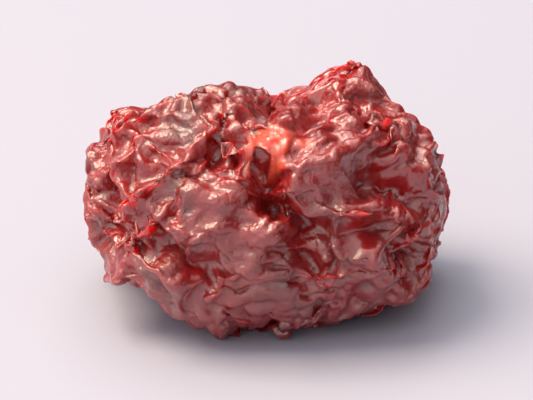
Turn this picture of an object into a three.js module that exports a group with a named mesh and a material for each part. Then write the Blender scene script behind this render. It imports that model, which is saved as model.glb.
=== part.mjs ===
import * as THREE from "three";

// One dried cranberry, lying on the flat that its own weight pressed.
// Millimetres, Z up, origin under the middle of its box.
// Its torn blossom end looks towards -Y and up, and the folds run to it.

const length = 15.5;
const width = 12.2;
const height = 9.8;
const pressedFlat = 0.8;

// The flesh is a slightly boxy egg. All places below are measured from its middle.
const eggRadii = [7.6, 6.2, 5.2];
const boxiness = 2.15;
const blossomEnd = [0.08, -0.66, 0.75];
const broadSwell = { rise: 0.14, length: 9, count: 8, draw: 3 };
const smallSwell = { rise: 0.12, length: 5, count: 12, draw: 4 };

// Lumps stand above the egg and hollows lie below it, each fading out over its reach.
const lumps = [
  { name: "left shoulder", at: [-6.9, 1.7, 2.6], reach: 1.8, rise: 0.4 },
  { name: "low left lobe", at: [-4.0, 2.8, 4.0], reach: 3.0, rise: -0.9 },
  { name: "valley between the lobes", at: [0.4, 2.4, 4.9], reach: 2.3, rise: -1.6 },
  { name: "right lobe", at: [3.1, 3.0, 4.4], reach: 1.7, rise: 1.15 },
  { name: "slope right of the lobe", at: [6.0, 2.6, 3.4], reach: 2.2, rise: -0.5 },
  { name: "torn end", at: [0.4, -3.4, 4.5], reach: 1.0, rise: 0.45 },
  { name: "hollow right of the torn end", at: [5.0, -3.9, 2.5], reach: 1.6, rise: -0.8 },
  { name: "slope under the left end", at: [-7.3, -1.0, -2.0], reach: 2.3, rise: -0.6 },
  { name: "flat cheek at the front left", at: [-3.4, -2.4, -4.1], reach: 2.0, rise: -0.4 },
  { name: "chin", at: [-1.1, -3.1, -4.6], reach: 1.3, rise: 0.3 },
  { name: "full right cheek", at: [5.8, -2.4, -3.2], reach: 2.4, rise: 0.35 },
  { name: "dimple at the stalk end", at: [0.5, 5.9, 1.6], reach: 3.2, rise: -0.4 },
  { name: "bulge at the rear left", at: [-3.6, 5.2, -0.8], reach: 2.8, rise: 0.35 },
];

// Each crease follows a few points over the skin.
const creases = [
  {
    name: "cleft over the top",
    path: [[0.2, 5.2, 3.2], [0.5, 2.2, 5.0], [0.2, 0.3, 5.2], [0.1, -1.9, 5.0]],
    halfWidth: 0.6,
    depth: 0.5,
  },
  {
    name: "crease below the torn end",
    path: [[0.0, -4.6, 3.7], [0.1, -5.6, 2.5], [0.9, -5.8, 1.9], [1.6, -6.0, 1.2]],
    halfWidth: 0.5,
    depth: 0.9,
  },
  {
    name: "crease up the right lobe",
    path: [[1.3, -2.2, 4.8], [2.2, -1.5, 4.9], [2.1, 0.6, 5.0]],
    halfWidth: 0.45,
    depth: 0.45,
  },
  {
    name: "crease at the front right",
    path: [[1.9, -6.0, 0.8], [3.2, -5.7, 0.9], [4.3, -5.2, 0.9]],
    halfWidth: 0.5,
    depth: 0.4,
  },
  {
    name: "fold down the left end",
    path: [[-6.7, 1.7, 2.4], [-6.8, -1.5, 2.3], [-6.6, -2.9, 1.5]],
    halfWidth: 0.45,
    depth: 0.5,
  },
  {
    name: "notch under the left fold",
    path: [[-6.8, -3.0, 0.1], [-6.0, -4.0, 0.0]],
    halfWidth: 0.4,
    depth: 0.45,
  },
  {
    name: "nick at the front left",
    path: [[-4.0, -5.4, 0.3], [-2.5, -5.9, -0.2]],
    halfWidth: 0.4,
    depth: 0.45,
  },
  {
    name: "notch at the low right",
    path: [[5.1, -4.8, -0.2], [6.1, -3.7, -1.2]],
    halfWidth: 0.45,
    depth: 0.45,
  },
];

// The skin is a net of cells whose lines wander, so that no fold can follow them.
const patchCells = 28;
const strays = [
  { length: 6, amount: 0.28 },
  { length: 3, amount: 0.1 },
];

// It is too large for the shrunken flesh, and buckles into folds, first broad, then small.
const foldings = [
  {
    foldLength: 3.2,
    excess: 0.045,
    inLine: 0.65,
    wander: 0.25,
    wanderLength: 7,
    ripple: 0.05,
    sunk: 0,
    draw: 7,
  },
  {
    foldLength: 2.1,
    excess: 0.045,
    inLine: 0.5,
    wander: 1.5,
    wanderLength: 6,
    ripple: 0.03,
    sunk: 0.1,
    draw: 8,
  },
];
const skin = {
  patchiness: 0.5,
  softness: 0.8,
  patchLength: 5,
  bending: 0.03,
  outwardHold: 3,
  sidewaysHold: 0.2,
};
const drying = { steps: 300, rampShare: 0.75, pace: 0.25, calming: 0.9 };
const skinColour = 0x7c1f22;

// A repeatable draw between 0 and 1.
function draw(number) {
  const value = Math.sin(12.9898 * number + 4.137) * 43758.5453;
  return value - Math.floor(value);
}

// Sine waves of about one length that cross at all angles, with a mean square of 1.
function waveMaker({ count, length: waveLength, draw: first }) {
  const waves = [];
  for (let k = 0; k < count; k += 1) {
    const [a, b, c, d] = [0, 1, 2, 3].map((j) => draw(4 * k + j + 1000 * first));
    const rise = 2 * a - 1;
    const run = Math.sqrt(1 - rise * rise);
    const turn = 2 * Math.PI * b;
    const rate = ((2 * Math.PI) / waveLength) * (0.8 + 0.45 * c);
    const way = new THREE.Vector3(run * Math.cos(turn), run * Math.sin(turn), rise);
    waves.push({ way: way.multiplyScalar(rate), phase: 2 * Math.PI * d });
  }
  const scale = Math.sqrt(2 / count);
  return (point) => {
    const sum = waves.reduce((total, w) => total + Math.sin(point.dot(w.way) + w.phase), 0);
    return sum * scale;
  };
}

// The directions moved by long waves.
function strayed(directions) {
  const shifts = strays.map((stray, number) =>
    [0, 1, 2].map((k) => waveMaker({ count: 8, length: stray.length, draw: 40 + 3 * number + k })),
  );
  return directions.map((way) => {
    const place = way.clone().multiplyScalar(eggRadii[1]);
    shifts.forEach((waves, number) => {
      const shift = new THREE.Vector3(...waves.map((wave) => wave(place)));
      place.addScaledVector(shift, strays[number].amount);
    });
    return place.normalize();
  });
}

// Directions over a ball in six square patches, their shared edges merged, and the cells between.
function ballGrid(cells) {
  const frames = [
    [[1, 0, 0], [0, 1, 0], [0, 0, 1]],
    [[-1, 0, 0], [0, -1, 0], [0, 0, 1]],
    [[0, 1, 0], [-1, 0, 0], [0, 0, 1]],
    [[0, -1, 0], [1, 0, 0], [0, 0, 1]],
    [[0, 0, 1], [1, 0, 0], [0, 1, 0]],
    [[0, 0, -1], [-1, 0, 0], [0, 1, 0]],
  ];
  const directions = [];
  const known = new Map();
  const place = (frame, i, j) => {
    const across = Math.tan(((2 * i) / cells - 1) * (Math.PI / 4));
    const up = Math.tan(((2 * j) / cells - 1) * (Math.PI / 4));
    const [middle, side, top] = frame.map((v) => new THREE.Vector3(...v));
    const way = middle.addScaledVector(side, across).addScaledVector(top, up).normalize();
    const key = way.toArray().map((v) => Math.round(v * 1e6) + 0).join();
    if (!known.has(key)) {
      known.set(key, directions.length);
      directions.push(way);
    }
    return known.get(key);
  };
  const quads = [];
  for (const frame of frames) {
    for (let i = 0; i < cells; i += 1) {
      for (let j = 0; j < cells; j += 1) {
        const corners = [[i, j], [i + 1, j], [i + 1, j + 1], [i, j + 1]];
        quads.push(corners.map(([a, b]) => place(frame, a, b)));
      }
    }
  }
  return { directions: strayed(directions), quads };
}

// The vertices beside each vertex along cell edges, and those across a cell's diagonal.
function neighbourhood({ directions, quads }) {
  const beside = directions.map(() => new Set());
  const diagonal = directions.map(() => new Set());
  for (const quad of quads) {
    quad.forEach((vertex, k) => {
      beside[vertex].add(quad[(k + 1) % 4]).add(quad[(k + 3) % 4]);
      diagonal[vertex].add(quad[(k + 2) % 4]);
    });
  }
  return { beside: beside.map((s) => [...s]), diagonal: diagonal.map((s) => [...s]) };
}

// The boxy egg's surface point and normal in a direction of the ball.
function onEgg(way) {
  const parts = way.toArray();
  const size = parts.reduce((sum, v) => sum + Math.abs(v) ** boxiness, 0) ** (1 / boxiness);
  const inner = parts.map((v) => v / size);
  const slope = inner.map((v, k) => (Math.sign(v) * Math.abs(v) ** (boxiness - 1)) / eggRadii[k]);
  return {
    point: new THREE.Vector3(...inner.map((v, k) => v * eggRadii[k])),
    normal: new THREE.Vector3(...slope).normalize(),
  };
}

function nearestOnEgg(place) {
  return onEgg(new THREE.Vector3(...place.map((v, k) => v / eggRadii[k])).normalize()).point;
}

function distanceToPath(point, path) {
  const nearest = new THREE.Vector3();
  const distances = path.slice(1).map((end, k) => {
    new THREE.Line3(path[k], end).closestPointToPoint(point, true, nearest);
    return nearest.distanceTo(point);
  });
  return Math.min(...distances);
}

// Height of the flesh above the egg: swells, plus lumps as bell curves, less creases as sharp valleys.
function fleshHeight() {
  const broad = waveMaker(broadSwell);
  const small = waveMaker(smallSwell);
  const placedLumps = lumps.map((lump) => ({ ...lump, middle: nearestOnEgg(lump.at) }));
  const placedCreases = creases.map((crease) => ({ ...crease, route: crease.path.map(nearestOnEgg) }));
  return (point) => {
    let rise = broadSwell.rise * broad(point) + smallSwell.rise * small(point);
    for (const lump of placedLumps) {
      rise += lump.rise * Math.exp(-point.distanceToSquared(lump.middle) / lump.reach ** 2);
    }
    for (const crease of placedCreases) {
      const away = distanceToPath(point, crease.route) / crease.halfWidth;
      rise -= crease.depth * Math.exp(0.5 - Math.sqrt(away * away + 0.25));
    }
    return rise;
  };
}

function outwardNormals(points, quads) {
  const normals = points.map(() => new THREE.Vector3());
  for (const quad of quads) {
    const [a, b, c, d] = quad.map((vertex) => points[vertex]);
    const face = c.clone().sub(a).cross(d.clone().sub(b));
    quad.forEach((vertex) => normals[vertex].add(face));
  }
  return normals.map((normal) => normal.normalize());
}

// Which way the folds run at each vertex: towards the blossom end, wandering from it.
function foldWays(directions, eggPoints, folding) {
  const end = new THREE.Vector3(...blossomEnd).normalize();
  const wander = [10, 11, 12].map((k) =>
    waveMaker({ count: 8, length: folding.wanderLength, draw: 3 * folding.draw + k }),
  );
  return directions.map((way, i) => {
    const lean = new THREE.Vector3(...wander.map((wave) => folding.wander * wave(eggPoints[i]))).add(end);
    return lean.addScaledVector(way, -lean.dot(way)).normalize();
  });
}

// One spring for each pair of neighbours, with its first length and how much longer it grows.
function skinSprings(grid, neighbours, flesh, eggPoints, folding) {
  const patchy = waveMaker({ count: 10, length: skin.patchLength, draw: folding.draw + 14 });
  const grows = eggPoints.map(
    (point) => folding.excess * THREE.MathUtils.clamp(1 + skin.patchiness * patchy(point), 0.2, 2),
  );
  const ways = foldWays(grid.directions, eggPoints, folding);
  const springsFrom = (i, others, pull) =>
    others.map((j) => {
      const step = flesh[j].clone().sub(flesh[i]);
      const rest = step.length();
      const along = step.dot(ways[i]) / rest;
      const growth = 0.5 * (grows[i] + grows[j]) * (1 - folding.inLine * along * along);
      return { to: j, rest, more: rest * growth, pull };
    });
  return flesh.map((point, i) => [
    ...springsFrom(i, neighbours.beside[i], 1),
    ...springsFrom(i, neighbours.diagonal[i], 0.5),
  ]);
}

// How far each vertex lies from its neighbours, those beside it counting four times those across.
function unevenness(values, { beside, diagonal }) {
  return values.map((value, i) => {
    const sum = new THREE.Vector3();
    beside[i].forEach((j) => sum.add(values[j]).sub(value));
    sum.multiplyScalar(4);
    diagonal[i].forEach((j) => sum.add(values[j]).sub(value));
    return sum.divideScalar(6);
  });
}

// Lets the grown skin settle: springs push its points apart, bending keeps it smooth,
// and the flesh holds it back, more firmly against lifting off than against sinking in.
function drySkin(grid, flesh, eggPoints, folding) {
  const neighbours = neighbourhood(grid);
  const springs = skinSprings(grid, neighbours, flesh, eggPoints, folding);
  const normals = outwardNormals(flesh, grid.quads);
  const ripple = waveMaker({ count: 40, length: folding.foldLength, draw: folding.draw });
  const yielding = waveMaker({ count: 10, length: skin.patchLength, draw: folding.draw + 4 });
  const cell = (Math.PI / 2) * (eggRadii[1] / patchCells);
  const foldRate = (2 * Math.PI * cell) / folding.foldLength;
  const holds = eggPoints.map(
    (point) => skin.bending * foldRate ** 4 * Math.exp(skin.softness * yielding(point)),
  );
  const points = flesh.map((point, i) =>
    point.clone().addScaledVector(normals[i], folding.ripple * ripple(eggPoints[i])),
  );
  const speeds = flesh.map(() => new THREE.Vector3());
  const step = new THREE.Vector3();
  for (let turn = 0; turn < drying.steps; turn += 1) {
    const grown = Math.min(1, turn / (drying.rampShare * drying.steps));
    const moved = points.map((point, i) => point.clone().sub(flesh[i]));
    const bends = unevenness(unevenness(moved, neighbours), neighbours);
    const pushes = points.map((point, i) => {
      const push = bends[i].multiplyScalar(-skin.bending);
      for (const spring of springs[i]) {
        step.copy(points[spring.to]).sub(point);
        const span = step.length();
        push.addScaledVector(step, (spring.pull * (span - spring.rest - grown * spring.more)) / span);
      }
      const lift = moved[i].dot(normals[i]);
      const hold = holds[i] * (lift > 0 ? skin.outwardHold : 1);
      push.addScaledVector(normals[i], -hold * lift * (1 - skin.sidewaysHold));
      return push.addScaledVector(moved[i], -skin.sidewaysHold * holds[i]);
    });
    points.forEach((point, i) => {
      speeds[i].addScaledVector(pushes[i], drying.pace).multiplyScalar(drying.calming);
      point.addScaledVector(speeds[i], drying.pace);
    });
  }
  return points;
}

// Presses the underside flat and fits the berry to its length, width and height.
function seat(points) {
  const lowest = Math.min(...points.map((point) => point.z));
  points.forEach((point) => {
    point.z = Math.max(point.z, lowest + pressedFlat);
  });
  const box = new THREE.Box3().setFromPoints(points);
  const middle = box.getCenter(new THREE.Vector3()).setZ(box.min.z);
  const fit = new THREE.Vector3(length, width, height).divide(box.getSize(new THREE.Vector3()));
  return points.map((point) => point.sub(middle).multiply(fit));
}

// Two triangles for each cell, split along its shorter diagonal.
function trianglesOf(points, quads) {
  return quads.flatMap(([a, b, c, d]) =>
    points[a].distanceTo(points[c]) < points[b].distanceTo(points[d])
      ? [a, b, c, a, c, d]
      : [a, b, d, b, c, d],
  );
}

function sink(points, quads, depth) {
  const normals = outwardNormals(points, quads);
  return points.map((point, i) => point.clone().addScaledVector(normals[i], -depth));
}

function berryGeometry() {
  const grid = ballGrid(patchCells);
  const eggs = grid.directions.map(onEgg);
  const eggPoints = eggs.map((egg) => egg.point);
  const rise = fleshHeight();
  let surface = eggs.map(({ point, normal }) => point.clone().addScaledVector(normal, rise(point)));
  for (const folding of foldings) {
    surface = drySkin(grid, sink(surface, grid.quads, folding.sunk), eggPoints, folding);
  }
  const points = seat(surface);
  const geometry = new THREE.BufferGeometry().setFromPoints(points);
  geometry.setIndex(trianglesOf(points, grid.quads));
  geometry.computeVertexNormals();
  return geometry;
}

const berry = new THREE.Mesh(
  berryGeometry(),
  new THREE.MeshStandardMaterial({ color: skinColour, roughness: 0.35, metalness: 0 }),
);
berry.name = "berry";

const driedCranberry = new THREE.Group();
driedCranberry.add(berry);

export default driedCranberry;
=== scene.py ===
# A dried cranberry on a pale table in soft light
import bpy
import math
import numpy as np
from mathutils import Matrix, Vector


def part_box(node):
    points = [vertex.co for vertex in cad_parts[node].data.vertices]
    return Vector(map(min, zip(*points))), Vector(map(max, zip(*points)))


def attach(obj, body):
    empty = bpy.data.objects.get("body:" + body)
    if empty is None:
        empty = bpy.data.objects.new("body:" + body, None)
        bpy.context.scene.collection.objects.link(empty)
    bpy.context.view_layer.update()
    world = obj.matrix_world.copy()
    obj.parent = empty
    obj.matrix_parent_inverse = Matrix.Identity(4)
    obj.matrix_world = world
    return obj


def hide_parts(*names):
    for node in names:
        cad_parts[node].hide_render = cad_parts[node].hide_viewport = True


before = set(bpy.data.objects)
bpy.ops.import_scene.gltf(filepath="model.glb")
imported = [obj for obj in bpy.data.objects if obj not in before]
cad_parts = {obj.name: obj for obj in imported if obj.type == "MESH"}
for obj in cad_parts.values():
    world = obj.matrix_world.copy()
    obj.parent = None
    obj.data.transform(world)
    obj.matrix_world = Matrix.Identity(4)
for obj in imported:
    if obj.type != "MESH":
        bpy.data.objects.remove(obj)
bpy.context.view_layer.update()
mm = 0.001
lowest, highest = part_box("berry")

# The berry. Its places are in mm from the middle of the fruit: x to the right, y away from the
# camera and z up.
berry = {
    "size": np.round(np.array(highest - lowest) / mm, 3),   # length, width and height, in mm
    "eggRadii": (7.6, 6.2, 5.2),
    "boxiness": 2.15,                    # 2 is a true egg
    "swells": [
        {"rise": 0.14, "length": 9, "count": 8, "draw": 3},
        {"rise": 0.12, "length": 5, "count": 12, "draw": 4},
    ],
    "creaseBottom": 0.5,                 # how round a crease's bottom is, in half widths
    "blossomEnd": (0.08, -0.66, 0.75),   # the folds run towards this side
    "pressedFlat": 0.8,                  # how much of the underside its weight has pressed away
    "pressedWrinkles": 0.1,              # and of the small wrinkles on it
}

# Lumps stand above the egg and hollows lie below it: place, reach, rise
lumps = [
    ((-6.9, 1.7, 2.6), 1.8, 0.4),     # left shoulder
    ((-4.0, 2.8, 4.0), 3.0, -0.9),    # low left lobe
    ((0.4, 2.4, 4.9), 2.3, -1.6),     # valley between the lobes
    ((3.1, 3.0, 4.4), 1.7, 1.15),     # right lobe
    ((6.0, 2.6, 3.4), 2.2, -0.5),     # slope right of the lobe
    ((0.4, -3.4, 4.5), 1.0, 0.45),    # torn end
    ((5.0, -3.9, 2.5), 1.6, -0.8),    # hollow right of the torn end
    ((-7.3, -1.0, -2.0), 2.3, -0.6),  # slope under the left end
    ((-3.4, -2.4, -4.1), 2.0, -0.4),  # flat cheek at the front left
    ((-1.1, -3.1, -4.6), 1.3, 0.3),   # chin
    ((5.8, -2.4, -3.2), 2.4, 0.35),   # full right cheek
    ((0.5, 5.9, 1.6), 3.2, -0.4),     # dimple at the stalk end
    ((-3.6, 5.2, -0.8), 2.8, 0.35),   # bulge at the rear left
]

# Creases follow a few points over the skin: path, half width, depth
creases = [
    # cleft over the top
    ([(0.2, 5.2, 3.2), (0.5, 2.2, 5.0), (0.2, 0.3, 5.2), (0.1, -1.9, 5.0)], 0.6, 0.5),
    # crease below the torn end
    ([(0.0, -4.6, 3.7), (0.1, -5.6, 2.5), (0.9, -5.8, 1.9), (1.6, -6.0, 1.2)], 0.5, 0.9),
    # crease up the right lobe
    ([(1.3, -2.2, 4.8), (2.2, -1.5, 4.9), (2.1, 0.6, 5.0)], 0.45, 0.45),
    # crease at the front right
    ([(1.9, -6.0, 0.8), (3.2, -5.7, 0.9), (4.3, -5.2, 0.9)], 0.5, 0.4),
    # fold down the left end
    ([(-6.7, 1.7, 2.4), (-6.8, -1.5, 2.3), (-6.6, -2.9, 1.5)], 0.45, 0.5),
    # notch under the left fold
    ([(-6.8, -3.0, 0.1), (-6.0, -4.0, 0.0)], 0.4, 0.45),
    # nick at the front left
    ([(-4.0, -5.4, 0.3), (-2.5, -5.9, -0.2)], 0.4, 0.45),
    # notch at the low right
    ([(5.1, -4.8, -0.2), (6.1, -3.7, -1.2)], 0.45, 0.45),
]

scatter = {"rate": 12.9898, "start": 4.137, "spread": 43758.5453}   # other numbers give another berry
waveDraws = 1000                     # draws kept for each sum of waves
waveRates = {"slowest": 0.8, "range": 0.45}
noVector = 1e-12                     # keeps a vector of no length from being divided by nothing
noSpring = 1e-9                      # and a spring of no length, in mm


def draw(number):
    # a repeatable draw between 0 and 1: the fraction of a large multiple of a sine
    value = math.sin(scatter["rate"] * number + scatter["start"]) * scatter["spread"]
    return value - math.floor(value)


def waves(points, count, length, first):
    # sine waves that cross at all angles, with rates from 0.8 to 1.25 times the length's own,
    # summed to a mean square of 1
    total = np.zeros(len(points))
    for k in range(count):
        upward, turn, quickness, start = [draw(4 * k + j + waveDraws * first) for j in range(4)]
        rise = 2 * upward - 1
        run = math.sqrt(1 - rise * rise)
        rate = 2 * math.pi / length * (waveRates["slowest"] + waveRates["range"] * quickness)
        way = (run * math.cos(2 * math.pi * turn), run * math.sin(2 * math.pi * turn), rise)
        total += np.sin(rate * (points @ way) + 2 * math.pi * start)
    return total / math.sqrt(count / 2)


def unit(vectors):
    # each vector divided by its length
    return vectors / (np.linalg.norm(vectors, axis=-1, keepdims=True) + noVector)


# The skin is a net of square cells, with lines that stray from an even grid by these waves
strays = [
    {"amount": 0.28, "length": 6, "count": 8, "draw": 40},
    {"amount": 0.1, "length": 3, "count": 8, "draw": 43},
]
matchedTo = 1e6                      # directions that agree to a millionth are one point
sideSteps = [(1, 0), (-1, 0), (0, 1), (0, -1)]
diagonalSteps = [(1, 1), (1, -1), (-1, 1), (-1, -1)]
smoothingPace = 0.125


def strayed(ways):
    # the directions moved by long waves, so that the grid lines wander and no fold can follow them
    places = berry["eggRadii"][1] * ways
    for stray in strays:
        moves = [waves(places, stray["count"], stray["length"], stray["draw"] + k) for k in range(3)]
        places = places + stray["amount"] * np.stack(moves, 1)
    return unit(places)


def ballPatches(cells):
    # six square patches of a ball, each a function of two angles: the patch's middle direction
    # plus the tangents of both angles times its side and top directions, brought to length 1;
    # shared edges are merged, and each patch is padded with the row beyond its edges
    frames = np.array([
        [(1, 0, 0), (0, 1, 0), (0, 0, 1)], [(-1, 0, 0), (0, -1, 0), (0, 0, 1)],
        [(0, 1, 0), (-1, 0, 0), (0, 0, 1)], [(0, -1, 0), (1, 0, 0), (0, 0, 1)],
        [(0, 0, 1), (1, 0, 0), (0, 1, 0)], [(0, 0, -1), (-1, 0, 0), (0, 1, 0)],
    ], float)
    tangent = np.tan(np.linspace(-math.pi / 4, math.pi / 4, cells + 1))
    u, v = np.meshgrid(tangent, tangent, indexing="ij")
    middle, side, top = frames.transpose(1, 0, 2)[:, :, None, None]
    ways = unit(middle + u[..., None] * side + v[..., None] * top).reshape(-1, 3)
    _, first, back = np.unique(np.round(ways * matchedTo), axis=0, return_index=True, return_inverse=True)
    at = back.reshape(6, cells + 1, cells + 1)
    quads = np.stack([at[:, :-1, :-1], at[:, 1:, :-1], at[:, 1:, 1:], at[:, :-1, 1:]], -1).reshape(-1, 4)
    edges = np.concatenate([quads, np.roll(quads, -1, axis=1)]).reshape(2, -1).T
    edges = np.unique(np.concatenate([edges, edges[:, ::-1]]), axis=0)
    around = np.bincount(edges[:, 0], edges[:, 1]).astype(int)   # sum of the neighbours' numbers
    padded = np.pad(at, ((0, 0), (1, 1), (1, 1)), mode="edge")
    for axis in (1, 2):
        inside = np.moveaxis(at, axis, 1)
        outside = np.moveaxis(padded, axis, 1)
        for edge, inner, beyond in ((0, 1, 0), (-1, -2, -1)):
            row = inside[:, edge]
            known = inside[:, inner].copy()
            known[:, 1:] += row[:, :-1]
            known[:, :-1] += row[:, 1:]
            outside[:, beyond, 1:-1] = around[row] - known       # the neighbour that is left over
    corners = ([1, 1, -2, -2], [0, -1, 0, -1], [0, 0, -1, -1])
    padded[:, corners[0], corners[1]] = at[:, corners[2], corners[1]]
    return {"cells": cells, "ways": strayed(ways[first]), "first": first, "at": at, "padded": padded,
            "quads": quads}


def shifted(padded, step, cells):
    # the patches moved by one cell in a direction, cut to their own size
    return padded[:, 1 + step[0]:cells + 2 + step[0], 1 + step[1]:cells + 2 + step[1]]


def toVertices(patches, values):
    # from values all over the patches, one for each vertex
    return values.reshape((-1,) + values.shape[3:])[patches["first"]]


def unevenness(patches, values):
    # how far each vertex lies from its neighbours' mean, with the four beside it counting
    # four times as much as the four across the corners, so that no direction is favoured
    padded = values[patches["padded"]]
    here = shifted(padded, (0, 0), patches["cells"])
    beside = sum(shifted(padded, step, patches["cells"]) - here for step in sideSteps)
    across = sum(shifted(padded, step, patches["cells"]) - here for step in diagonalSteps)
    return toVertices(patches, (4 * beside + across) / 6)


def smoothed(patches, values, passes):
    # each pass moves every vertex a share of the way towards its neighbours' mean
    for _ in range(passes):
        values = values + smoothingPace * unevenness(patches, values)
    return values


def outward(patches, points):
    # a vertex's normal is the sum of the crossed diagonals of the cells round it
    quads = patches["quads"]
    a, b, c, d = (points[quads[:, k]] for k in range(4))
    face = np.cross(c - a, d - b)
    total = [sum(np.bincount(quads[:, k], face[:, axis], len(points)) for k in range(4))
             for axis in range(3)]
    return unit(np.stack(total, 1)).astype(points.dtype)


def finerSurface(coarse, fine, points):
    # every cell is split in four, with new vertices halfway between the old ones
    cells = coarse["cells"]
    known = points[coarse["at"]]
    split = np.zeros((6, 2 * cells + 1, 2 * cells + 1, 3), points.dtype)
    split[:, ::2, ::2] = known
    split[:, 1::2, ::2] = (known[:, 1:] + known[:, :-1]) / 2
    split[:, :, 1::2] = (split[:, :, 2::2] + split[:, :, :-1:2]) / 2
    return toVertices(fine, split)


def egg(ways):
    # a boxy egg: directions divided by their power-mean length, stretched to the radii; its
    # normal is the slope of that length
    radii = np.array(berry["eggRadii"])
    power = berry["boxiness"]
    inner = ways / (np.abs(ways) ** power).sum(1, keepdims=True) ** (1 / power)
    normal = unit(np.sign(inner) * np.abs(inner) ** (power - 1) / radii)
    return inner * radii, normal


def onEgg(places):
    # the egg's points in the directions of the places
    return egg(unit(np.array(places, float) / berry["eggRadii"]))[0]


def distanceToPath(points, path):
    # distance to the nearest of the path's straight stretches
    nearest = np.full(len(points), np.inf)
    for start, end in zip(path[:-1], path[1:]):
        stretch = end - start
        share = np.clip((points - start) @ stretch / (stretch @ stretch), 0, 1)
        nearest = np.minimum(nearest, np.linalg.norm(points - start - share[:, None] * stretch, axis=1))
    return nearest


def fleshSurface(ways):
    # the egg moved along its normal by swells, plus lumps as bell curves, less creases as sharp valleys
    points, normal = egg(ways)
    rise = np.zeros(len(points))
    for swell in berry["swells"]:
        rise += swell["rise"] * waves(points, swell["count"], swell["length"], swell["draw"])
    for place, reach, height in lumps:
        away = np.linalg.norm(points - onEgg([place]), axis=1)
        rise += height * np.exp(-(away / reach) ** 2)
    bottom = berry["creaseBottom"]
    for path, halfWidth, depth in creases:
        away = distanceToPath(points, onEgg(path)) / halfWidth
        rise -= depth * np.exp(bottom - np.sqrt(away ** 2 + bottom ** 2))
    return points + rise[:, None] * normal


# Smaller ridges, hollows and pits, between the first folds and the fine ones: path, half width, rise
details = [
    # ridge along the left lobe, and the dish above it
    ([(-5.4, -4.3, 1.8), (-4.6, -4.6, 2.2), (-3.8, -4.4, 2.9), (-3.2, -3.9, 3.6), (-2.0, -3.2, 4.3)],
     0.45, 0.35),
    ([(-5.3, -3.8, 2.8), (-4.4, -3.9, 3.2)], 0.45, -0.35),
    # valley down the left end
    ([(-6.2, -1.4, 3.0), (-6.3, -2.4, 2.4), (-7.1, -2.4, 0.7)], 0.4, -0.45),
    # shelf of the torn end, the hole under it, the crease that leaves it, and the rim at its right
    ([(-0.6, -4.2, 4.0), (0.1, -4.5, 3.8)], 0.55, 0.9),
    ([(-0.1, -4.9, 3.4), (-0.1, -5.1, 3.1), (-0.2, -5.6, 2.4)], 0.5, -0.6),
    ([(0.1, -5.6, 2.4), (0.8, -5.7, 2.1), (1.5, -6.0, 1.1), (1.9, -6.0, 0.5)], 0.3, -0.4),
    ([(1.3, -4.8, 3.4), (2.6, -4.2, 3.6)], 0.5, 0.3),
    # hollow right of the torn end, the lip under it, and the smaller hollow under that
    ([(3.8, -4.3, 3.0), (4.8, -3.8, 2.8), (5.8, -3.5, 2.2), (6.4, -3.3, 1.4)], 0.7, -0.7),
    ([(2.5, -5.6, 1.7), (3.3, -5.4, 1.8), (4.3, -4.9, 1.7)], 0.35, 0.35),
    ([(3.3, -5.6, 0.7), (3.9, -5.4, 0.9), (4.5, -5.1, 0.8)], 0.4, -0.6),
    # pit and bump low at the front
    ([(1.6, -6.1, -0.1), (1.8, -6.1, -0.1)], 0.3, -0.4),
    ([(2.2, -5.9, -0.9), (2.4, -5.9, -0.9)], 0.4, 0.3),
    # slit at the lower left, the fold beneath it and the bump above it
    ([(-3.6, -5.6, 0.1), (-2.9, -5.8, -0.5), (-2.4, -5.9, -0.7)], 0.4, -0.35),
    ([(-4.3, -5.3, -0.4), (-3.7, -5.5, -0.8), (-3.3, -5.6, -1.1)], 0.45, 0.25),
    ([(-2.9, -5.8, 0.8), (-2.5, -5.8, 0.8)], 0.55, 0.3),
    # flatter middle of the front
    ([(-1.2, -6.0, 1.5), (0.2, -6.1, 0.3)], 1.1, -0.25),
    # bump left of the crease
    ([(-0.2, -6.1, 1.1), (0.1, -6.1, 1.1)], 0.5, 0.3),
    # notch at the left edge and the fold under it
    ([(-7.2, -1.8, -1.1), (-6.6, -3.0, -1.1)], 0.4, -0.5),
    ([(-6.3, -2.4, -2.4), (-5.7, -3.9, -1.7)], 0.4, 0.4),
    # pits in the saddle
    ([(-0.6, -0.7, 5.2), (-0.3, -0.7, 5.2)], 0.4, -0.35),
    ([(1.5, -1.5, 5.0), (1.8, -1.4, 5.0)], 0.4, -0.4),
    # folds at the right edge
    ([(6.1, -0.3, 3.3), (6.1, -2.0, 2.9)], 0.35, -0.35),
    ([(6.2, -3.7, -1.1), (5.8, -3.7, -1.9)], 0.35, -0.4),
]

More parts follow.
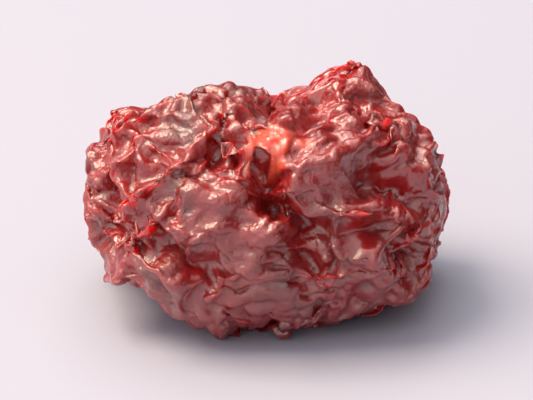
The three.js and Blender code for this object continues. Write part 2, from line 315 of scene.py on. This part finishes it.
# Small round bumps that catch the light: place, reach, rise
bumps = [
    # cluster on the left lobe
    ((-2.6, -3.3, 4.2), 0.35, 0.22), ((-2.0, -2.9, 4.5), 0.3, 0.15), ((-3.2, -3.6, 3.9), 0.3, 0.2),
    ((-3.7, -4.1, 3.3), 0.3, 0.2), ((-1.7, -4.0, 4.0), 0.3, 0.2), ((-2.6, -4.5, 3.4), 0.35, 0.22),
    ((-1.4, -5.1, 3.0), 0.35, 0.2), ((-1.9, -5.6, 2.1), 0.35, 0.22), ((-3.0, -5.2, 2.4), 0.35, 0.22),
    ((-4.8, -4.3, 2.3), 0.45, 0.25), ((-4.3, -5.1, 1.2), 0.35, 0.2), ((-5.8, -4.2, 0.4), 0.35, 0.2),
    # right of the torn end
    ((2.1, -2.9, 4.5), 0.3, 0.2), ((2.3, -3.6, 4.2), 0.3, 0.2), ((3.1, -4.0, 3.6), 0.35, 0.25),
    ((2.6, -4.7, 3.2), 0.35, 0.25), ((1.9, -5.1, 2.9), 0.35, 0.2), ((3.5, -3.4, 3.9), 0.3, 0.2),
    # front
    ((-0.3, -6.1, 0.9), 0.35, 0.2), ((-3.1, -5.8, 0.2), 0.35, 0.2), ((-3.6, -5.6, -0.6), 0.35, 0.2),
    ((-2.1, -5.9, 1.2), 0.35, 0.2), ((2.4, -5.8, -1.0), 0.35, 0.2),
    # right lobe
    ((6.5, -0.3, 2.8), 0.35, 0.2), ((7.1, 0.0, 2.0), 0.35, 0.2), ((4.9, -1.4, 4.0), 0.35, 0.2),
    ((4.4, -1.2, 4.3), 0.3, 0.2),
]


def detailed(patches, points):
    # ridges and hollows along their paths and bumps round their places, as bell curves of distance,
    # moved along the egg's normal
    places, normal = egg(patches["ways"])
    rise = np.zeros(len(places))
    for path, halfWidth, height in details:
        rise += height * np.exp(-(distanceToPath(places, onEgg(path)) / halfWidth) ** 2)
    for place, reach, height in bumps:
        rise += height * np.exp(-(np.linalg.norm(places - onEgg([place]), axis=1) / reach) ** 2)
    return points + rise[:, None] * normal


# Where the skin is taut it has few small wrinkles, and in some patches, mostly hollows, a clearer red is
# painted on as painted glow, standing in for light through the flesh: place, reach, how taut, how red
tautPatches = [
    ((5.4, -3.6, 2.4), 1.4, 1.0, 1.0),    # hollow right of the torn end
    ((-0.1, -5.0, 3.2), 0.6, 1.0, 1.0),   # hole under the torn end
    ((3.8, -5.4, 0.8), 0.8, 1.0, 1.0),    # smaller hollow
    ((1.8, 2.5, 4.7), 1.2, 1.0, 1.0),     # saddle between the lobes
    ((-4.8, -4.2, 2.4), 0.6, 0.5, 0.0),   # ridge along the left lobe
    ((6.8, -2.6, -0.3), 1.6, 0.5, 0.0),   # right end
    ((-2.9, -5.8, -0.5), 0.5, 0.8, 0.6),  # slit at the lower left
    ((0.5, -5.3, -2.6), 1.9, 0.6, 0.0),   # low at the front
    ((3.2, -4.9, -2.6), 1.5, 0.6, 0.0),   # low at the front right
    ((-2.6, -5.0, -2.2), 1.4, 0.6, 0.0),  # low at the front left
    ((2.0, 5.0, 2.2), 1.6, 1.0, 1.0),     # rear
    ((-6.0, 3.0, 0.5), 1.3, 1.0, 1.0),    # rear left
]


def tautSkin(eggPoints):
    # how taut the skin is and how much painted glow (a clearer red) it gets: both fall off from each patch
    # as an exponential of distance to the fourth power, and the strongest patch counts
    near = [np.exp(-(np.linalg.norm(eggPoints - onEgg([place]), axis=1) / reach) ** 4)
            for place, reach, _, _ in tautPatches]
    tautness, paintedGlow = np.array(tautPatches, object)[:, 2:].astype(float).T
    return np.max(tautness[:, None] * near, axis=0), np.max(paintedGlow[:, None] * near, axis=0)


# The skin is too large for the shrunken flesh and buckles, from broad folds down to fine wrinkles.
# cells: along a patch's side
# fold: mm from fold to fold
# excess, inLine: how much longer the skin grows, and how much less of that along the folds
# wander, wanderLength: how far the folds stray from the way to the blossom end, and in how many mm
# ripple: mm of the first unevenness, from which the folds grow
# sunk: mm that the skin is drawn in first
# tautness: how much less it grows where it is taut
# patchiness: how unevenly it grows
# patch: mm between soft and firm patches of flesh
# steps, draw: how long it settles, and where its draws start
# backs: how the ridges get round backs: radius in mm, how many cells it reaches in as many turns,
#     and the smoothing passes that heights are measured from
foldings = [
    {"cells": 28, "fold": 3.2, "excess": 0.045, "inLine": 0.65, "wander": 0.25, "wanderLength": 7,
     "ripple": 0.05, "sunk": 0.0, "tautness": 0.0, "patchiness": 0.5, "patch": 5, "steps": 300,
     "draw": 7, "backs": None},
    {"cells": 28, "fold": 2.1, "excess": 0.045, "inLine": 0.5, "wander": 1.5, "wanderLength": 6,
     "ripple": 0.03, "sunk": 0.1, "tautness": 0.0, "patchiness": 0.5, "patch": 5, "steps": 300,
     "draw": 8, "backs": None},
    {"cells": 56, "fold": 1.5, "excess": 0.14, "inLine": 0.4, "wander": 2.5, "wanderLength": 4,
     "ripple": 0.02, "sunk": 0.05, "tautness": 0.6, "patchiness": 0.3, "patch": 3, "steps": 240,
     "draw": 9, "backs": {"radius": 0.8, "turns": 4, "passes": 8}},
    {"cells": 112, "fold": 0.8, "excess": 0.24, "inLine": 0.5, "wander": 2.5, "wanderLength": 2.5,
     "ripple": 0.01, "sunk": 0.03, "tautness": 0.85, "patchiness": 0.2, "patch": 2, "steps": 160,
     "draw": 10, "backs": {"radius": 0.45, "turns": 5, "passes": 10}},
]
quickCells = 56
finerPasses = 2                      # of smoothing, when a net's cells are split
skin = {
    "bending": 0.03,                 # its stiffness, where that of the springs is 1
    "diagonalPull": 0.5,             # stiffness of the springs across the cells
    "outwardHold": 3.0,              # how much more firmly the flesh holds against lifting off
    "sidewaysHold": 0.2,             # and against sliding
    "softness": 0.8,                 # how much the firmness varies
    "growthLimits": (0.2, 2),        # where 1 is even growth
    "growthWaves": {"count": 10, "length": 5, "draw": 14},
    "firmnessWaves": {"count": 10, "draw": 4},
    "rippleCount": 40,
    "wanderWaves": {"count": 8, "draw": 10},
}
# The growth takes this share of the steps, and in each step the skin moves by its speed times the
# pace, and keeps this share of its speed
drying = {"rampShare": 0.75, "pace": 0.25, "calming": 0.9}


def foldWays(patches, eggPoints, folding):
    # along the skin towards the blossom end, wandering from it as much as the folding says
    count = skin["wanderWaves"]["count"]
    first = 3 * folding["draw"] + skin["wanderWaves"]["draw"]
    wander = [waves(eggPoints, count, folding["wanderLength"], first + k) for k in range(3)]
    lean = unit(np.array(berry["blossomEnd"])) + folding["wander"] * np.stack(wander, 1)
    ways = patches["ways"]
    return unit(lean - (lean * ways).sum(1, keepdims=True) * ways)


def skinSprings(patches, flesh, growth, along, favour):
    # one spring to each of the eight neighbours: its first length, and how much longer it grows
    cells = patches["cells"]
    here = shifted(flesh[patches["padded"]], (0, 0), cells)
    grows = growth[patches["padded"]]
    springs = []
    for step in sideSteps + diagonalSteps:
        gap = shifted(flesh[patches["padded"]], step, cells) - here
        rest = np.sqrt((gap * gap).sum(-1))
        pull = np.where(rest > noSpring, 1.0 if step in sideSteps else skin["diagonalPull"], 0.0)
        rest = np.maximum(rest, noSpring)
        inLine = (gap * along[patches["at"]]).sum(-1) / rest
        more = rest * (shifted(grows, step, cells) + shifted(grows, (0, 0), cells)) / 2
        more = more * (1 - favour * inLine ** 2)
        springs.append((step, rest, more.astype(flesh.dtype), pull.astype(flesh.dtype)))
    return springs


def drySkin(patches, flesh, eggPoints, folding):
    # springs push the grown skin's points apart and bending keeps it smooth; the flesh holds it as
    # bending does at the fold's length, by the fourth power of two pi cells over that length, and
    # more firmly against lifting off; it moves until it comes to rest
    kind = flesh.dtype.type
    cells = patches["cells"]
    first = folding["draw"]
    uneven = skin["growthWaves"]
    growth = waves(eggPoints, uneven["count"], uneven["length"], first + uneven["draw"])
    growth = folding["excess"] * np.clip(1 + folding["patchiness"] * growth, *skin["growthLimits"])
    growth = (growth * (1 - folding["tautness"] * tautSkin(eggPoints)[0])).astype(kind)
    along = foldWays(patches, eggPoints, folding).astype(kind)
    springs = skinSprings(patches, flesh, growth, along, folding["inLine"])
    normals = outward(patches, flesh)
    cell = math.pi / 2 * berry["eggRadii"][1] / cells
    firmness = skin["firmnessWaves"]
    yielding = waves(eggPoints, firmness["count"], folding["patch"], first + firmness["draw"])
    yielding = np.exp(skin["softness"] * yielding)
    hold = (skin["bending"] * (2 * math.pi * cell / folding["fold"]) ** 4 * yielding).astype(kind)
    ripple = folding["ripple"] * waves(eggPoints, skin["rippleCount"], folding["fold"], first)
    points = flesh + ripple.astype(kind)[:, None] * normals
    speed = np.zeros_like(points)
    bending, outwardHold, sidewaysHold = [kind(skin[k]) for k in ("bending", "outwardHold", "sidewaysHold")]
    pace, calming = kind(drying["pace"]), kind(drying["calming"])
    for turn in range(folding["steps"]):
        grown = kind(min(1.0, turn / (drying["rampShare"] * folding["steps"])))
        padded = points[patches["padded"]]
        here = shifted(padded, (0, 0), cells)
        push = np.zeros_like(here)
        for step, rest, more, pull in springs:
            gap = shifted(padded, step, cells) - here
            span = np.sqrt((gap * gap).sum(-1)) + kind(noSpring)
            push += (pull * (span - rest - grown * more) / span)[..., None] * gap
        push = toVertices(patches, push)
        moved = points - flesh
        push -= bending * unevenness(patches, unevenness(patches, moved))
        lift = (moved * normals).sum(1)
        firm = hold * np.where(lift > 0, outwardHold, kind(1))
        push -= (firm * lift * (1 - sidewaysHold))[:, None] * normals
        push -= (sidewaysHold * hold)[:, None] * moved
        speed = (speed + pace * push) * calming
        points = points + pace * speed
    return points


def roundBacked(patches, points, backs):
    # the skin has thickness, so ridges get round backs and the creases between them stay narrow:
    # each height above the smoothed skin becomes the largest of the heights round it, less a
    # parabola of their distance, and the whole is smoothed once
    cell = math.pi / 2 * berry["eggRadii"][1] / patches["cells"]
    broad = smoothed(patches, points, backs["passes"])
    normals = outward(patches, broad)
    first = ((points - broad) * normals).sum(1)
    lift = first
    for turn in range(backs["turns"]):
        drop = points.dtype.type((2 * turn + 1) * cell ** 2 / (2 * backs["radius"]))
        padded = lift[patches["padded"]]
        beside = np.max([shifted(padded, step, patches["cells"]) for step in sideSteps], axis=0)
        across = np.max([shifted(padded, step, patches["cells"]) for step in diagonalSteps], axis=0)
        lift = np.maximum(lift, toVertices(patches, np.maximum(beside - drop, across - 2 * drop)))
    return smoothed(patches, points + (lift - first)[:, None] * normals, 1)


# Narrow creases between the wrinkles, stronger in some patches than in others and weak in taut skin
crinkles = [
    {"length": 1.7, "depth": 0.42, "width": 0.5, "count": 30, "patch": 4, "draw": 70},
    {"length": 1.0, "depth": 0.28, "width": 0.6, "count": 30, "patch": 3, "draw": 72},
]
crinklePatches = {"count": 10, "mean": 0.7, "swing": 0.5, "limits": (0.1, 1.6), "lessWhereTaut": 0.8}


def crinkled(patches, points):
    # narrow creases where a sum of waves crosses zero: each sinks as a falling exponential of the
    # sum's size, and stronger and weaker patches follow a longer sum
    places = egg(patches["ways"])[0]
    sunk = np.zeros(len(places))
    for crinkle in crinkles:
        level = np.abs(waves(places, crinkle["count"], crinkle["length"], crinkle["draw"]))
        patchy = waves(places, crinklePatches["count"], crinkle["patch"], crinkle["draw"] + 1)
        patchy = crinklePatches["mean"] + crinklePatches["swing"] * patchy
        patchy = np.clip(patchy, *crinklePatches["limits"])
        sunk += crinkle["depth"] * patchy * np.exp(-level / crinkle["width"])
    sunk *= 1 - crinklePatches["lessWhereTaut"] * tautSkin(places)[0]
    return points - sunk[:, None].astype(points.dtype) * outward(patches, points)


# The torn blossom end shows a ragged spot of bright flesh, a little proud of the skin round it
tornEnd = {
    "middle": (0.3, -3.9, 4.2), "radius": 1.05,
    "edge": {"ragged": 0.25, "length": 1.1, "count": 20, "draw": 80},
    "passes": 80,                    # of smoothing, which takes the folds away
    "rise": 0.05,
    "bumps": {"rise": 0.07, "length": 0.6, "count": 30, "draw": 82},
    # the groove round it: depth in mm, and place and width as shares of the radius
    "rim": {"depth": 0.06, "at": 1.3, "width": 0.25},
}


def insideTorn(patches):
    # distance from the torn end's middle as a share of its radius, made ragged by short waves
    places = egg(patches["ways"])[0]
    edge = tornEnd["edge"]
    away = np.linalg.norm(places - onEgg([tornEnd["middle"]]), axis=1) / tornEnd["radius"]
    return away + edge["ragged"] * waves(places, edge["count"], edge["length"], edge["draw"])


def torn(patches, points):
    # the folds are smoothed away, and the flesh stands up as a flat-topped bell with short bumps,
    # inside a narrow groove
    away = insideTorn(patches)
    bell = np.exp(-np.abs(away) ** 4)
    flat = smoothed(patches, points, tornEnd["passes"])
    points = points + bell[:, None].astype(points.dtype) * (flat - points)
    short, rim = tornEnd["bumps"], tornEnd["rim"]
    bumpy = waves(egg(patches["ways"])[0], short["count"], short["length"], short["draw"])
    groove = rim["depth"] * np.exp(-((away - rim["at"]) / rim["width"]) ** 2)
    rise = tornEnd["rise"] * bell + short["rise"] * bumpy * bell - groove
    return points + rise[:, None].astype(points.dtype) * outward(patches, points)


# How the wrinkled skin is filled out to the shape that it had before it was wrinkled, in mm
filling = {
    "from": 1.0,                     # how far inside its box the skin is filled out in full
    "tuckedIn": 0.2,                 # how far it is tucked in at its box
    "bentFrom": 0.3,                 # how near its box the highest wrinkles start to bend in
    "passes": 30,                    # of smoothing, for the directions in which it moves
}


def filledOut(patches, points, solid):
    # wrinkling draws the skin in, so it moves back out by its mean depth below the solid's shape,
    # but near the solid's box it is tucked in, and the tips that still stand beyond the box bend in
    # along a tanh curve
    normals = outward(patches, smoothed(patches, solid, filling["passes"]))
    low, high = solid.min(0), solid.max(0)
    middle, half = (low + high) / 2, (high - low) / 2
    room = np.clip((half - np.abs(solid - middle)).min(1) / filling["from"], 0, 1)
    depth = ((solid - points) * normals).sum(1).mean()
    points = points + ((depth + filling["tuckedIn"]) * room - filling["tuckedIn"])[:, None] * normals
    away = np.abs(points - middle)
    bend = filling["bentFrom"]
    bent = np.minimum(away, half - bend) + bend * np.tanh(np.maximum(away - half + bend, 0) / bend)
    return middle + np.sign(points - middle) * bent


def seat(points, pressedFlat):
    # the underside pressed flat, and the whole fitted to the berry's length, width and height
    points = points.astype(float)
    points[:, 2] = np.maximum(points[:, 2], points[:, 2].min() + pressedFlat)
    low, high = points.min(0), points.max(0)
    middle = np.array([(low[0] + high[0]) / 2, (low[1] + high[1]) / 2, low[2]])
    return (points - middle) * berry["size"] / (high - low)


def wrinkledSkin():
    # the flesh and its broad folds have the solid's shape, and the details and the fine folds are
    # made on nets of smaller cells
    coarsest = foldings[0]["cells"]
    patches = ballPatches(coarsest)
    points = fleshSurface(patches["ways"])
    for folding in foldings:
        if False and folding["cells"] > quickCells:
            continue
        if folding["cells"] != patches["cells"]:
            finer = ballPatches(folding["cells"])
            firstNet = patches["cells"] == coarsest
            if firstNet:
                points = seat(points, berry["pressedFlat"])
                solid = points
            points = smoothed(finer, finerSurface(patches, finer, points), finerPasses)
            solid = finerSurface(patches, finer, solid)
            if firstNet:
                points = detailed(finer, points)
            points = points.astype(np.float32)
            patches = finer
        points = points - points.dtype.type(folding["sunk"]) * outward(patches, points)
        points = drySkin(patches, points, egg(patches["ways"])[0], folding)
        if folding["backs"]:
            points = roundBacked(patches, points, folding["backs"])
        print("folds of", folding["fold"], "mm settled on", len(points), "points")
    points = filledOut(patches, torn(patches, crinkled(patches, points)), solid)
    print("creases and torn end made, and the skin filled out")
    return patches, seat(points, berry["pressedWrinkles"])


# The material reads two heights of the skin, each above the shape that so many smoothing passes give
# the broader height, lift, places the painted glow in the creases
heights = {"lift": 60, "fineLift": 5}


def addObject(name, data):
    # an object in the scene that shows the mesh, light or camera
    thing = bpy.data.objects.new(name, data)
    bpy.context.collection.objects.link(thing)
    return thing


def addAttribute(mesh, name, values):
    # one number for each vertex, which the material reads by name
    layer = mesh.attributes.new(name, "FLOAT", "POINT")
    layer.data.foreach_set("value", values.astype(np.float32))


def makeBerry():
    # the skin as one closed mesh, with the numbers that its material reads
    patches, points = wrinkledSkin()
    mesh = bpy.data.meshes.new("berrySkin")
    mesh.from_pydata((points * mm).tolist(), [], patches["quads"].tolist())
    mesh.shade_smooth()
    for name, passes in heights.items():
        broad = smoothed(patches, points, passes)
        addAttribute(mesh, name, ((points - broad) * outward(patches, broad)).sum(1))
    addAttribute(mesh, "fromTorn", insideTorn(patches))
    # the red attribute carries the painted glow of the taut patches: a clearer red standing in for light
    # through the flesh
    for name, values in zip(("taut", "red"), tautSkin(egg(patches["ways"])[0])):
        addAttribute(mesh, name, values)
    return addObject("berrySkin", mesh)


def linear(hexColour):
    # an sRGB hex colour as the linear colour that nodes expect
    channels = [int(hexColour[k:k + 2], 16) / 255 for k in (1, 3, 5)]
    return [c / 12.92 if c <= 0.04045 else ((c + 0.055) / 1.055) ** 2.4 for c in channels] + [1.0]


def emptyTree(owner):
    # the node tree of a material or world, without the nodes that it starts with
    owner.use_nodes = True
    owner.node_tree.nodes.clear()
    return owner.node_tree


def addNode(tree, kind, settings=None, links=None):
    # one node with its settings, and its sockets set to values or linked to other nodes' outputs
    node = tree.nodes.new(kind)
    for name, value in (settings or {}).items():
        setattr(node, name, value)
    for socket, source in (links or {}).items():
        if isinstance(source, bpy.types.NodeSocket):
            tree.links.new(source, node.inputs[socket])
        else:
            node.inputs[socket].default_value = source
    return node


# Candied cranberry skin: a thin waxy hide soaked in sugar syrup over moist, translucent red flesh.
# It shines where the folds catch the light and glows red where light passes through; its creases
# and taut hollows get a clearer, brighter red on top, as painted glow.
skinFinish = {
    # painted glow: the creases get a clearer, brighter red than the slopes, standing in for light through
    # the flesh
    "crease": "#a0090c",
    # colours laid over that of the creases in turn: what each follows, where it starts and is full
    "layers": [
        {"colour": "#921215", "follows": "lift", "start": -0.3, "full": 0.0, "edge": "SMOOTHSTEP"},
        {"colour": "#861b18", "follows": "fineLift", "start": 0.0, "full": 0.04, "edge": "SMOOTHSTEP"},
        {"colour": "#6a1310", "follows": "blotches", "start": 0.5, "full": 0.72, "edge": "SMOOTHSTEP"},
        # painted glow: a clearer red where the taut patches are, standing in for light through the flesh
        {"colour": "#a4040a", "follows": "red", "start": 0.0, "full": 1.0, "edge": "LINEAR"},
        {"colour": "#d4573f", "follows": "fromTorn", "start": 1.25, "full": 0.7, "edge": "SMOOTHSTEP"},
    ],
    "blotches": {"length": 2.4, "detail": 2.0},   # mm between browner patches
    "puckers": {"length": 0.3, "detail": 3.0},    # mm between the finest puckers
    "puckerDepth": 0.1,
    "roughness": {"From Min": 0.3, "From Max": 0.7, "To Min": 0.3, "To Max": 0.5},   # by the blotches
    "roughnessWhereTaut": -0.2,      # added to that
    "glowDepth": 1.0,                # mm that red light travels in the flesh
    "shader": {
        "IOR": 1.5, "Specular IOR Level": 0.8,
        "Subsurface Weight": 1.0, "Subsurface Radius": (1.0, 0.12, 0.08),   # red goes furthest
        "Coat Weight": 1.0, "Coat Roughness": 0.12, "Coat IOR": 1.55,       # the syrup
    },
}
mixInputs = (6, 7)                   # a Mix node's sockets for colours
mixOutput = 2


def candiedSkin():
    material = bpy.data.materials.new("candiedCranberrySkin")
    tree = emptyTree(material)
    place = addNode(tree, "ShaderNodeTexCoord").outputs["Object"]
    marks = {name: addNode(tree, "ShaderNodeAttribute", {"attribute_name": name}).outputs["Fac"]
             for name in ("lift", "fineLift", "fromTorn", "taut", "red")}
    for name in ("blotches", "puckers"):
        scale = 1 / (skinFinish[name]["length"] * mm)
        marks[name] = addNode(tree, "ShaderNodeTexNoise", {"noise_dimensions": "3D"}, {
            "Vector": place, "Scale": scale, "Detail": skinFinish[name]["detail"],
        }).outputs[0]
    colour = linear(skinFinish["crease"])
    for layer in skinFinish["layers"]:
        cover = addNode(tree, "ShaderNodeMapRange", {"interpolation_type": layer["edge"]}, {
            "Value": marks[layer["follows"]], "From Min": layer["start"], "From Max": layer["full"],
        })
        colour = addNode(tree, "ShaderNodeMix", {"data_type": "RGBA"}, {
            "Factor": cover.outputs[0], mixInputs[0]: colour, mixInputs[1]: linear(layer["colour"]),
        }).outputs[mixOutput]
    slack = addNode(tree, "ShaderNodeMath", {"operation": "SUBTRACT"}, {0: 1.0, 1: marks["taut"]})
    puckered = addNode(tree, "ShaderNodeMath", {"operation": "MULTIPLY"},
                       {0: marks["puckers"], 1: slack.outputs[0]})
    relief = addNode(tree, "ShaderNodeBump", {}, {
        "Height": puckered.outputs[0], "Distance": skinFinish["puckerDepth"] * mm, "Strength": 1.0,
    })
    roughness = addNode(tree, "ShaderNodeMapRange", {},
                        {"Value": marks["blotches"], **skinFinish["roughness"]})
    smoother = addNode(tree, "ShaderNodeMath", {"operation": "MULTIPLY_ADD"},
                       {0: marks["taut"], 1: skinFinish["roughnessWhereTaut"], 2: roughness.outputs[0]})
    shader = addNode(tree, "ShaderNodeBsdfPrincipled", {}, {
        **skinFinish["shader"], "Subsurface Scale": skinFinish["glowDepth"] * mm,
        "Base Color": colour, "Roughness": smoother.outputs[0],
        "Normal": relief.outputs[0], "Coat Normal": relief.outputs[0],
    })
    addNode(tree, "ShaderNodeOutputMaterial", {}, {"Surface": shader.outputs[0]})
    return material


# Matt white laminate table: even, pale and only slightly glossy
table = {"colour": "#adafc1", "roughness": 0.6, "size": 0.6}


def makeTable():
    half = table["size"] / 2
    corners = [(-half, -half, 0), (half, -half, 0), (half, half, 0), (-half, half, 0)]
    mesh = bpy.data.meshes.new("table")
    mesh.from_pydata(corners, [], [(0, 1, 2, 3)])
    material = bpy.data.materials.new("whiteLaminate")
    tree = emptyTree(material)
    shader = addNode(tree, "ShaderNodeBsdfPrincipled", {},
                     {"Base Color": linear(table["colour"]), "Roughness": table["roughness"]})
    addNode(tree, "ShaderNodeOutputMaterial", {}, {"Surface": shader.outputs[0]})
    mesh.materials.append(material)
    floor = addObject("table", mesh)


# Soft studio light: a room that is bright at the front left, a warm softbox high on the left, a wide
# one behind, and a faint one on the right. A softbox's light is how bright it would make a white
# table on its own, where 1 is white.
studio = {
    "roomColour": "#f8f4f2", "brightSide": (-0.6, -0.55, 0.58), "bright": 1.45, "dark": 0.07,
    "darkUpTo": 0.1, "brightFrom": 1.0,     # cosines of the angle to the bright side
    "softboxes": [
        {"name": "softboxLeft", "place": (-0.17, 0.01, 0.28), "size": 0.2, "light": 1.15,
         "colour": "#ffe9cc"},
        {"name": "softboxBack", "place": (-0.03, 0.16, 0.28), "size": 0.25, "light": 0.42,
         "colour": "#fffaf4"},
        {"name": "softboxRight", "place": (0.15, -0.02, 0.28), "size": 0.3, "light": 0.16,
         "colour": "#fff4ee"},
    ],
}


def makeRoom():
    # brightness goes with the direction looked at: bright towards one side, and dark away from it
    world = bpy.data.worlds.new("paleRoom")
    tree = emptyTree(world)
    way = addNode(tree, "ShaderNodeTexCoord").outputs["Generated"]
    towards = addNode(tree, "ShaderNodeVectorMath", {"operation": "DOT_PRODUCT"},
                      {0: way, 1: studio["brightSide"]})
    glow = addNode(tree, "ShaderNodeMapRange", {"interpolation_type": "SMOOTHSTEP"}, {
        "Value": towards.outputs["Value"], "From Min": studio["darkUpTo"], "From Max": studio["brightFrom"],
        "To Min": studio["dark"], "To Max": studio["bright"],
    })
    sky = addNode(tree, "ShaderNodeBackground", {},
                  {"Color": linear(studio["roomColour"]), "Strength": glow.outputs[0]})
    addNode(tree, "ShaderNodeOutputWorld", {}, {"Surface": sky.outputs[0]})
    bpy.context.scene.world = world


def makeSoftbox(settings):
    # power from the light wanted on the table: it falls with distance squared and with slant
    place = Vector(settings["place"])
    lamp = bpy.data.lights.new(settings["name"], "AREA")
    lamp.size = settings["size"]
    lamp.color = linear(settings["colour"])[:3]
    lamp.energy = settings["light"] * math.pi ** 2 * place.length ** 3 / place.z
    softbox = addObject(settings["name"], lamp)
    softbox.location = place
    softbox.rotation_euler = (-place).to_track_quat("-Z", "Y").to_euler()


# The photograph looks down on the berry from about 25 degrees, from far off
view = {"elevation": 25, "distance": 0.30, "lens": 480, "aim": (0.0, 0.0, 0.0047)}


def makeCamera():
    camera = bpy.data.cameras.new("camera")
    camera.lens = view["lens"]
    eye = addObject("camera", camera)
    tilt = math.radians(view["elevation"])
    away = Vector((0, -math.cos(tilt), math.sin(tilt))) * view["distance"]
    eye.location = Vector(view["aim"]) + away
    eye.rotation_euler = (math.pi / 2 - tilt, 0, 0)
    bpy.context.scene.camera = eye


skinPiece = makeBerry()
skinPiece.data.materials.append(candiedSkin())
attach(skinPiece, "root")
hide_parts("berry")
print("berry made")
makeTable()
makeRoom()
for settings in studio["softboxes"]:
    makeSoftbox(settings)
makeCamera()
bpy.context.scene.view_settings.view_transform = "Standard"
print("table, light and camera set")
